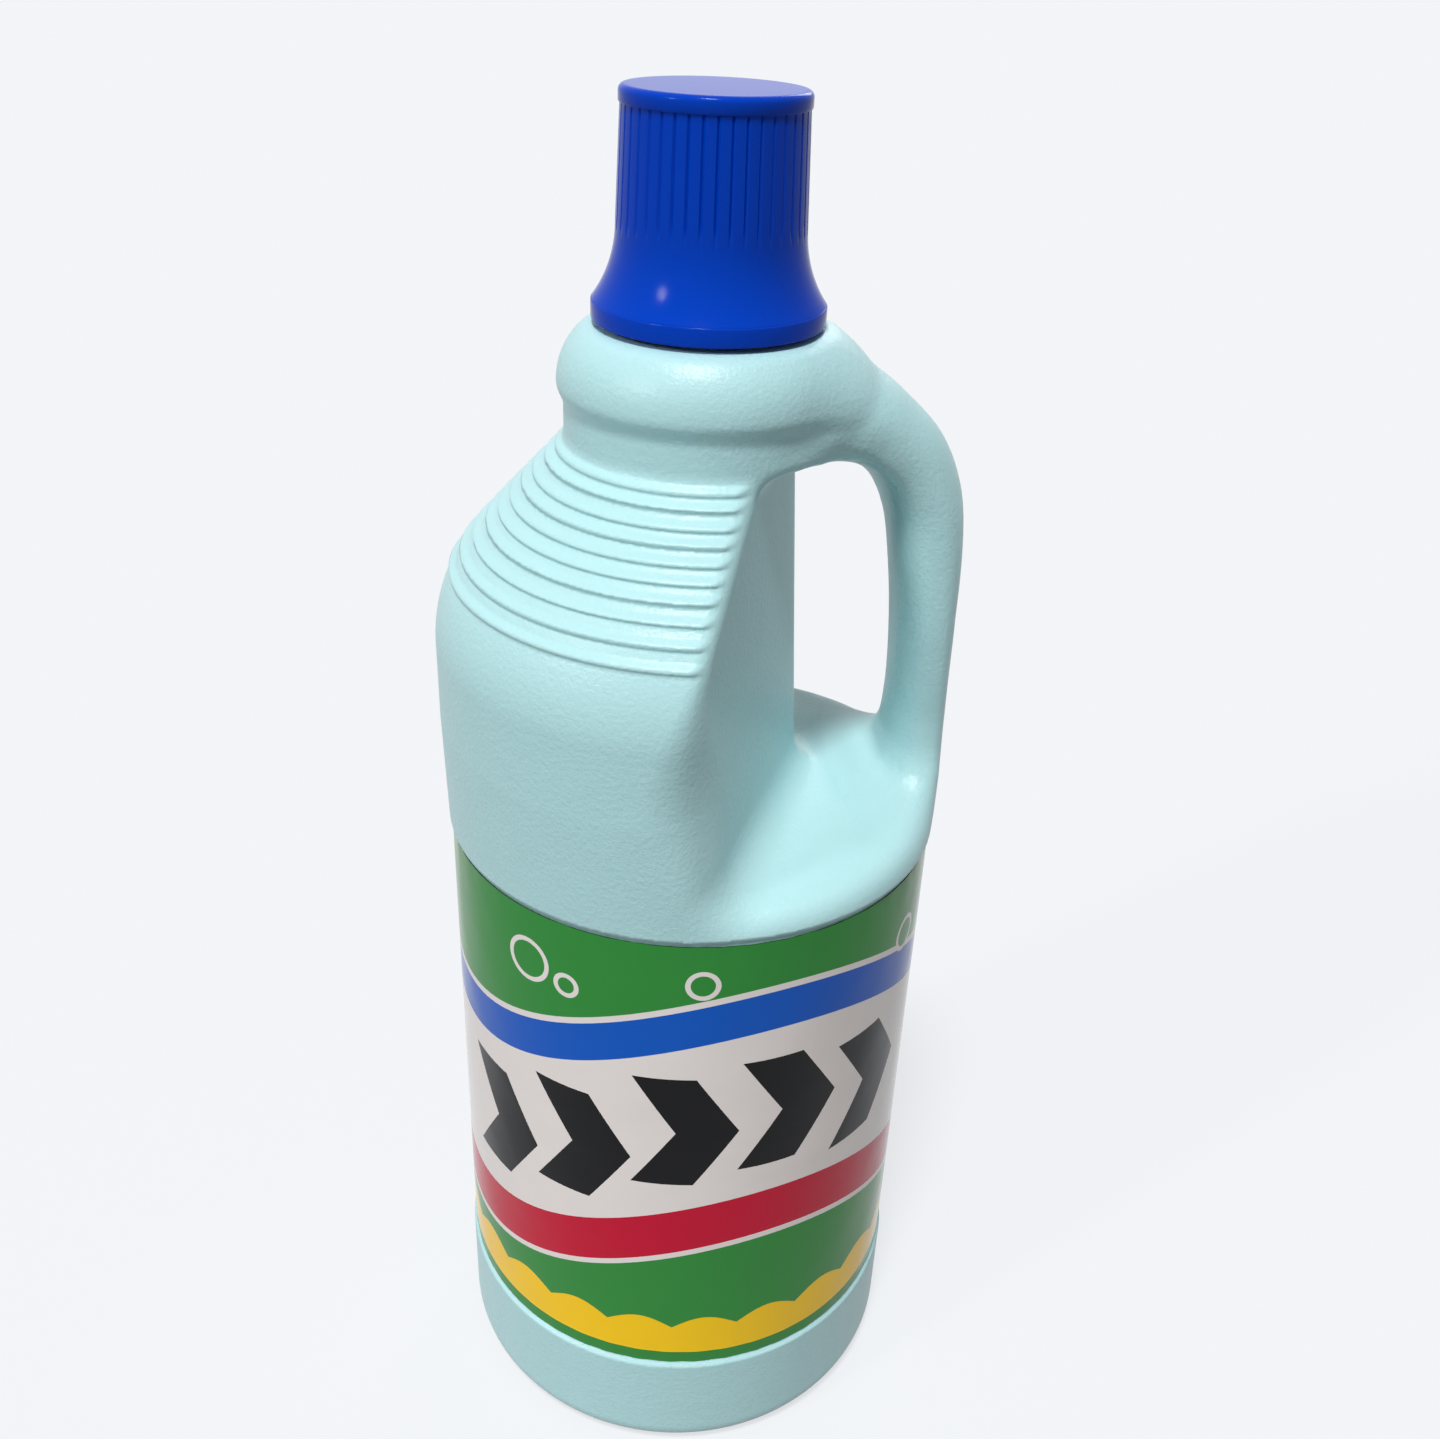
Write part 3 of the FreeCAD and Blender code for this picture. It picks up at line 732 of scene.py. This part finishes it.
def scalloped_strip(around, low, high):
    """A strip round the film's foot whose upper edge is a row of shallow arcs."""
    u = np.linspace(0, around, SCALLOP_COUNT * 12 + 1)
    edge = high + SCALLOP_RISE * np.abs(np.sin(math.pi * u * SCALLOP_COUNT / around))
    return np.vstack([np.stack([u, np.full_like(u, low)], 1), np.stack([u, edge], 1)[::-1]])


def sleeve_artwork(around, foot):
    """Plain shapes on the unrolled film, from the lowest layer up: ink name and outline."""
    shapes = [
        ("white", wave_band(around, -37.0, 35.0)),
        ("blue", wave_band(around, 23.5, 33.4)),
        ("crimson", wave_band(around, -35.4, -22.5)),
        ("yellow", scalloped_strip(around, foot + SCALLOP_LOW, foot + SCALLOP_HIGH)),
    ]
    # One group at the film's ends and one at its middle; no chevron crosses the join
    for group in (0.0, 0.5):
        for step in range(-2, 3):
            u = (around * group + CHEVRON_PITCH * step) % around
            if JOIN_MARGIN < u < around - JOIN_MARGIN:
                shapes.append(("black", CHEVRON + (u, float(wave_z(u, around)) + CHEVRON_RISE)))
        for shift, height, size in BUBBLES:
            u = (around * group + shift) % around
            shapes.append(("white", disc(u, height, size)))
            shapes.append(("green", disc(u, height, size - BUBBLE_RING)))
    return shapes


def flat_print(around, foot, top, spacing, shapes, inks):
    """Triangles of the unrolled film that follow every outline, and the ink of each."""
    columns = int(around / spacing)
    rows = int((top - foot) / (2 * spacing))
    u = np.linspace(0, around, columns + 1)
    z = np.linspace(foot, top, rows + 1)
    grid = np.stack(np.meshgrid(u, z), 2).reshape(-1, 2)
    points = [Vector(p) for p in grid.tolist()]
    # The film's own four edges
    width = columns + 1
    edges = []
    for i in range(columns):
        edges.append((i, i + 1))
        edges.append((rows * width + i, rows * width + i + 1))
    for i in range(rows):
        edges.append((i * width, (i + 1) * width))
        edges.append((i * width + columns, (i + 1) * width + columns))
    for _, outline in shapes:
        outline = close_points(outline, spacing)
        first = len(points)
        count = len(outline)
        points += [Vector((min(max(p[0], 0.0), around), p[1])) for p in outline.tolist()]
        edges += [(first + i, first + (i + 1) % count) for i in range(count)]
    flat, _, faces, _, _, _ = geometry.delaunay_2d_cdt(points, edges, [], 0, 0.02)
    flat = np.array([tuple(p) for p in flat])
    faces = np.array([face for face in faces if len(face) == 3])
    middle = flat[faces].mean(1)
    face_inks = np.full(len(faces), inks.index("green"))
    for ink, outline in shapes:
        face_inks[within(middle, outline)] = inks.index(ink)
    a, b, c = (flat[faces[:, i]] for i in range(3))
    area = (b[:, 0] - a[:, 0]) * (c[:, 1] - a[:, 1]) - (b[:, 1] - a[:, 1]) * (c[:, 0] - a[:, 0])
    faces[area < 0] = faces[area < 0][:, ::-1]
    return flat, faces.tolist(), face_inks


def within(points, outline):
    """Which points lie inside a closed outline."""
    inside = np.zeros(len(points), bool)
    x, y = points.T
    for (x0, y0), (x1, y1) in zip(outline, np.roll(outline, -1, 0)):
        crosses = (y0 > y) != (y1 > y)
        if y0 != y1:
            inside ^= crosses & (x < (x1 - x0) * (y - y0) / (y1 - y0) + x0)
    return inside


class OBJECT_OT_bleach_cap(bpy.types.Operator):
    """Builds the grooved measuring cap with its flared skirt"""
    bl_idname = "object.bleach_cap"
    bl_label = "Measuring cap"

    def execute(self, context):
        settings = context.scene.bleach_cap
        material = moulded_polypropylene(settings)
        count = settings.groove_count
        half = settings.groove_half_width / MM
        depth = settings.groove_depth / MM
        pitch = 2 * math.pi * GRIP_TOP_R / count
        # Points across one groove, and across the land up to the next
        groove_marks = [-half, -half * 0.5, 0.0, half * 0.5, half]
        land_marks = np.linspace(half, pitch - half, 6)[1:-1]
        marks = np.concatenate([groove_marks, land_marks])
        sunk = np.tile(np.concatenate([[0, 0.55, 1.0, 0.55, 0], np.zeros(len(land_marks))]), count)
        turns = (np.arange(count)[:, None] + (marks / pitch)[None, :]).reshape(-1) / count
        rows = np.array(cap_profile())
        groove, thread = rows[:, 2:3], rows[:, 3:4]

        def cut_grooves(r, turns, z):
            r = r - depth * groove * sunk[None, :]
            height = thread_height(turns % 1.0, z, THREAD_START - CAP_THREAD_DROP)
            return r - np.where(thread > 0, THREAD_DEPTH * height, 0.0)

        shell = new_mesh("grooved_cap", *turned_mesh(rows, turns, cut_grooves), [material])
        shell.data.set_sharp_from_angle(angle=math.radians(38))
        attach(shell, "cap")
        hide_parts("cap")
        return {"FINISHED"}


def arc_rows(centre_r, centre_z, radius, start, stop, steps):
    """Rows (r, z) along an arc between two angles in degrees."""
    turns = np.radians(np.linspace(start, stop, steps + 1))
    return [(centre_r + radius * math.cos(t), centre_z + radius * math.sin(t)) for t in turns]


def cap_profile():
    """Rows (r, z, groove, thread) from the middle of the top, down the outside and up the inside."""
    band_top = SKIRT_FOOT + SKIRT_BAND
    rows = [(AXIS_R, CAP_TOP), (6.0, CAP_TOP), (12.0, CAP_TOP), (15.6, CAP_TOP)]
    rows += arc_rows(CAP_R - CAP_EDGE, CAP_TOP - CAP_EDGE, CAP_EDGE, 90, 0, 6)
    rim_foot = CAP_TOP - RIM_H
    rows += [(CAP_R, rim_foot + 0.25), (CAP_R - 0.12, rim_foot + 0.05), (GRIP_TOP_R + 0.02, rim_foot)]
    outside = [(r, z, 0.0, 0.0) for r, z in rows]
    for t in np.linspace(0, 1, 14):
        z = rim_foot - 0.05 - t * (rim_foot - FLARE_TOP - 0.05)
        groove = 1.0 if t < 0.95 else 0.5
        outside.append((GRIP_TOP_R + t * (GRIP_FOOT_R - GRIP_TOP_R), z, groove, 0.0))
    foot_r = SKIRT_R - 0.2
    out, drop = foot_r - GRIP_FOOT_R, FLARE_TOP - band_top
    radius = (out * out + drop * drop) / (2 * out)
    turn = math.degrees(math.asin(drop / radius))
    flare = arc_rows(GRIP_FOOT_R + radius, FLARE_TOP, radius, 180, 180 + turn, 14)
    outside += [(r, z, 0.0, 0.0) for r, z in flare[1:]]
    edge = 0.35
    outside += [(r, z, 0.0, 0.0) for r, z in arc_rows(SKIRT_R - edge, band_top - edge, edge, 80, 0, 3)]
    outside += [(r, z, 0.0, 0.0) for r, z in arc_rows(SKIRT_R - edge, SKIRT_FOOT + edge, edge, 0, -90, 3)]
    wall = SKIRT_R - CAP_WALL
    inside = [(wall, SKIRT_FOOT), (wall, band_top), (wall - 1.5, POCKET_ROOF - 2.4), (TUBE_R, POCKET_ROOF),
              (TUBE_R, TUBE_FOOT + 0.1), (CAP_BORE_R, TUBE_FOOT)]
    outside += [(r, z, 0.0, 0.0) for r, z in inside]
    outside += [(CAP_BORE_R, z, 0.0, 1.0) for z in np.arange(TUBE_FOOT + 0.2, CAP_STEP - 0.2, 0.3)]
    cup = [(CAP_BORE_R, CAP_STEP), (CUP_R, CAP_STEP), (CUP_R, CAP_ROOF - 0.6), (CUP_R - 0.6, CAP_ROOF),
           (AXIS_R, CAP_ROOF)]
    return outside + [(r, z, 0.0, 0.0) for r, z in cup]


class OBJECT_OT_bleach_closure_parts(bpy.types.Operator):
    """Gives the pour spout and the cap's seal their materials"""
    bl_idname = "object.bleach_closure_parts"
    bl_label = "Spout and seal"

    def execute(self, context):
        # Injection-moulded LDPE: soft, waxy white with a low gloss
        spout, _, _ = new_material("moulded LDPE", {
            "Base Color": linear_colour("#EDEFEA"),
            "Roughness": 0.36,
            "IOR": 1.51,
            "Subsurface Weight": 0.15,
            "Subsurface Radius": (0.003, 0.003, 0.003),
            "Subsurface Scale": 0.5,
        })
        # Closed-cell polyethylene foam: dull white
        seal, _, _ = new_material("foamed polyethylene", {
            "Base Color": linear_colour("#E6E6E2"),
            "Roughness": 0.7,
            "IOR": 1.49,
        })
        for node, material in (("pour_spout", spout), ("cap_seal", seal)):
            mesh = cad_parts[node].data
            mesh.materials.clear()
            mesh.materials.append(material)
        return {"FINISHED"}


class OBJECT_OT_bleach_studio(bpy.types.Operator):
    """Sets the pale floor, the soft lamps and the camera"""
    bl_idname = "object.bleach_studio"
    bl_label = "Studio"

    def execute(self, context):
        settings = context.scene.bleach_studio
        scene = context.scene
        paper = background_paper(settings)
        mesh = bpy.data.meshes.new("floor")
        half = 25.0
        corners = [(-half, -half, 0), (half, -half, 0), (half, half, 0), (-half, half, 0)]
        mesh.from_pydata(corners, [], [(0, 1, 2, 3)])
        mesh.materials.append(paper)
        floor = bpy.data.objects.new("floor", mesh)
        scene.collection.objects.link(floor)
        world = bpy.data.worlds.new("studio")
        world.use_nodes = True
        scene.world = world
        tree = world.node_tree
        tree.nodes.clear()
        seen = background_rays(tree)
        even = add_node(tree, "ShaderNodeBackground",
                        {"Color": (1, 1, 1, 1), "Strength": settings.world_strength})
        pale = add_node(tree, "ShaderNodeBackground", {"Color": settings.floor_colour, "Strength": 1.0})
        mix = add_node(tree, "ShaderNodeMixShader")
        tree.links.new(seen, mix.inputs["Fac"])
        tree.links.new(even.outputs[0], mix.inputs[1])
        tree.links.new(pale.outputs[0], mix.inputs[2])
        add_node(tree, "ShaderNodeOutputWorld", links={"Surface": (mix, 0)})
        # Name, strength, width in degrees, and the direction that the lamp stands in
        lamps = (
            ("top lamp", settings.key_strength, 11, (-0.14, -0.36, 0.92)),
            ("side lamp", settings.side_strength, 9, (-0.78, -0.42, 0.46)),
            ("back lamp", settings.back_strength, 20, (0.4, 0.85, 0.35)),
        )
        for name, strength, spread, towards in lamps:
            lamp = bpy.data.lights.new(name, "SUN")
            lamp.energy = strength
            lamp.angle = math.radians(spread)
            obj = bpy.data.objects.new(name, lamp)
            obj.rotation_euler = Vector(towards).to_track_quat("Z", "Y").to_euler()
            scene.collection.objects.link(obj)
        scene.view_settings.view_transform = "Standard"
        add_camera(scene)
        return {"FINISHED"}


def background_rays(tree):
    """1 for the rays that see the background: the camera's, and those off gloss or through clear things."""
    path = add_node(tree, "ShaderNodeLightPath")
    seen = path.outputs["Is Camera Ray"]
    for ray in ("Is Glossy Ray", "Is Transmission Ray"):
        either = add_node(tree, "ShaderNodeMath", {"operation": "MAXIMUM"})
        tree.links.new(seen, either.inputs[0])
        tree.links.new(path.outputs[ray], either.inputs[1])
        seen = either.outputs[0]
    return seen


def background_paper(settings):
    """Seamless matte paper: pale where it is seen, and it throws only a little light back on the bottle."""
    surface = {"Base Color": (0.2, 0.2, 0.2, 1), "Roughness": 0.9}
    material, tree, shader = new_material("background paper", surface)
    seen = background_rays(tree)
    lit = add_node(tree, "ShaderNodeBsdfDiffuse", {"Color": settings.floor_colour})
    glow = add_node(tree, "ShaderNodeEmission", {"Color": settings.floor_colour, "Strength": 0.95})
    pale = add_node(tree, "ShaderNodeMixShader", {"Fac": 0.8})
    tree.links.new(lit.outputs[0], pale.inputs[1])
    tree.links.new(glow.outputs[0], pale.inputs[2])
    choice = add_node(tree, "ShaderNodeMixShader")
    tree.links.new(seen, choice.inputs["Fac"])
    tree.links.new(shader.outputs[0], choice.inputs[1])
    tree.links.new(pale.outputs[0], choice.inputs[2])
    tree.links.new(choice.outputs[0], tree.nodes["Material Output"].inputs["Surface"])
    return material


def add_camera(scene):
    """The photograph's view: from above the front left, slightly rolled."""
    place = Vector((-0.03103, -0.27234, 0.3264))
    heading, pitch, roll = (math.radians(v) for v in (7.657, 29.22, 2.549))
    ahead = math.cos(pitch)
    forward = Vector((math.sin(heading) * ahead, math.cos(heading) * ahead, -math.sin(pitch)))
    level = Vector((math.cos(heading), -math.sin(heading), 0))
    up = level.cross(forward)
    right = math.cos(roll) * level + math.sin(roll) * up
    top = math.cos(roll) * up - math.sin(roll) * level
    camera = bpy.data.objects.new("camera", bpy.data.cameras.new("camera"))
    camera.data.sensor_width = 36.0
    camera.data.lens = 36.05
    camera.data.clip_start = 0.01
    rotation = Matrix((right, top, -forward)).transposed()
    camera.matrix_world = Matrix.Translation(place) @ rotation.to_4x4()
    scene.collection.objects.link(camera)
    scene.camera = camera


class VIEW3D_PT_bleach_bottle(bpy.types.Panel):
    """Lists the bottle's sizes, colours and steps"""
    bl_idname = "VIEW3D_PT_bleach_bottle"
    bl_label = "Bleach bottle"
    bl_space_type = "VIEW_3D"
    bl_region_type = "UI"
    bl_category = "Bottle"

    def draw(self, context):
        for title, group, operators in PANEL_ROWS:
            box = self.layout.box()
            box.label(text=title)
            settings = getattr(context.scene, group)
            for name in settings.__annotations__:
                box.prop(settings, name)
            for operator in operators:
                box.operator(operator.bl_idname)


PANEL_ROWS = (
    ("Body", "bleach_body", (OBJECT_OT_bleach_blown_body,)),
    ("Sleeve", "bleach_sleeve", (OBJECT_OT_bleach_sleeve,)),
    ("Cap", "bleach_cap", (OBJECT_OT_bleach_cap, OBJECT_OT_bleach_closure_parts)),
    ("Studio", "bleach_studio", (OBJECT_OT_bleach_studio,)),
)
SETTINGS = (
    ("bleach_body", BlownBodySettings),
    ("bleach_sleeve", SleeveSettings),
    ("bleach_cap", CapSettings),
    ("bleach_studio", StudioSettings),
)
CLASSES = [kind for _, kind in SETTINGS] + [
    OBJECT_OT_bleach_blown_body,
    OBJECT_OT_bleach_sleeve,
    OBJECT_OT_bleach_cap,
    OBJECT_OT_bleach_closure_parts,
    OBJECT_OT_bleach_studio,
    VIEW3D_PT_bleach_bottle,
]


def register():
    for kind in CLASSES:
        bpy.utils.register_class(kind)
    for name, kind in SETTINGS:
        setattr(bpy.types.Scene, name, PointerProperty(type=kind))


def unregister():
    for name, _ in reversed(SETTINGS):
        delattr(bpy.types.Scene, name)
    for kind in reversed(CLASSES):
        bpy.utils.unregister_class(kind)


def main():
    register()
    bpy.ops.object.bleach_blown_body()
    bpy.ops.object.bleach_sleeve()
    bpy.ops.object.bleach_cap()
    bpy.ops.object.bleach_closure_parts()
    bpy.ops.object.bleach_studio()


if __name__ == "__main__":
    main()
